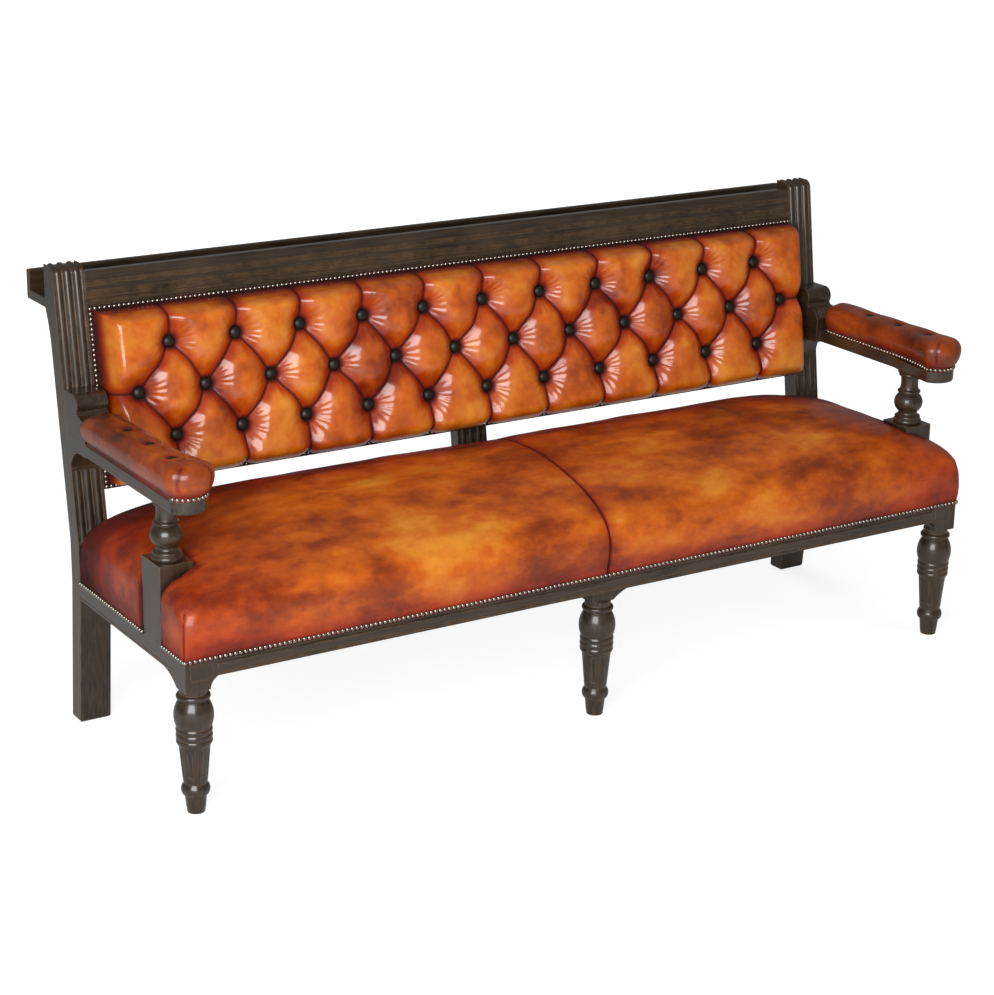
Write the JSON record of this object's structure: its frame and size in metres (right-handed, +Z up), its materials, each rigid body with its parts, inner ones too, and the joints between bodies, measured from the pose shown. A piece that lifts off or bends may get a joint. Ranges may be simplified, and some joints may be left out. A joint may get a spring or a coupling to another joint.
{
  "type": "chesterfield pub bench",
  "caption": "Long pub bench: buttoned leather back and sprung leather seat in a dark turned and reeded frame, padded arms, rear ledge.",
  "frame": {"origin": "on the floor, under the middle of the bench, halfway between the foremost leather and the rear lip of the ledge", "axes": "+X along the bench to the sitter's left, which is the right in the picture; +Y from front to back; +Z up"},
  "size_m": [1.854, 0.692, 0.915],
  "materials": {
    "ebonised_wood": "semi-gloss polish worn brown on the edges",
    "plain_wood": "raw",
    "tan_leather": "glossy hand-dyed, darker in the folds",
    "dark_buttons": "covered, semi-gloss",
    "nickel_nails": "polished",
    "steel": "plain",
    "jute": "woven",
    "black_cloth": "woven"
  },
  "bodies": {
    "root": {"arm_dowels": "plain_wood", "back_bottom_rail": "ebonised_wood", "back_buttons": "dark_buttons", "back_cushion": "tan_leather", "back_hessian": "jute", "back_nails": "nickel_nails", "back_upright": "ebonised_wood", "back_webbing": "jute", "centre_back_stile": "ebonised_wood", "centre_cross_rail": "ebonised_wood", "centre_leg_bracket": "ebonised_wood", "centre_leg_dowels": "plain_wood", "dust_cover": "black_cloth", "front_centre_leg": "ebonised_wood", "front_left_leg": "ebonised_wood", "front_right_leg": "ebonised_wood", "front_seat_rail": "ebonised_wood", "glue_blocks": "plain_wood", "ledge_board": "ebonised_wood", "ledge_lip": "ebonised_wood", "ledge_screws": "steel", "left_arm": "ebonised_wood", "left_arm_baluster": "ebonised_wood", "left_arm_buttons": "dark_buttons", "left_arm_nails": "nickel_nails", "left_arm_pad": "tan_leather", "left_arm_support": "ebonised_wood", "left_back_stile": "ebonised_wood", "left_rear_post": "ebonised_wood", "left_seat_rail": "ebonised_wood", "left_side_bracket": "ebonised_wood", "outside_back": "black_cloth", "rear_seat_rail": "ebonised_wood", "right_arm": "ebonised_wood", "right_arm_baluster": "ebonised_wood", "right_arm_buttons": "dark_buttons", "right_arm_nails": "nickel_nails", "right_arm_pad": "tan_leather", "right_arm_support": "ebonised_wood", "right_back_stile": "ebonised_wood", "right_rear_post": "ebonised_wood", "right_seat_rail": "ebonised_wood", "right_side_bracket": "ebonised_wood", "seat_cushion": "tan_leather", "seat_hessian": "jute", "seat_nails": "nickel_nails", "seat_springs": "steel", "seat_webbing": "jute", "top_rail": "ebonised_wood"}
  },
  "joints": []
}
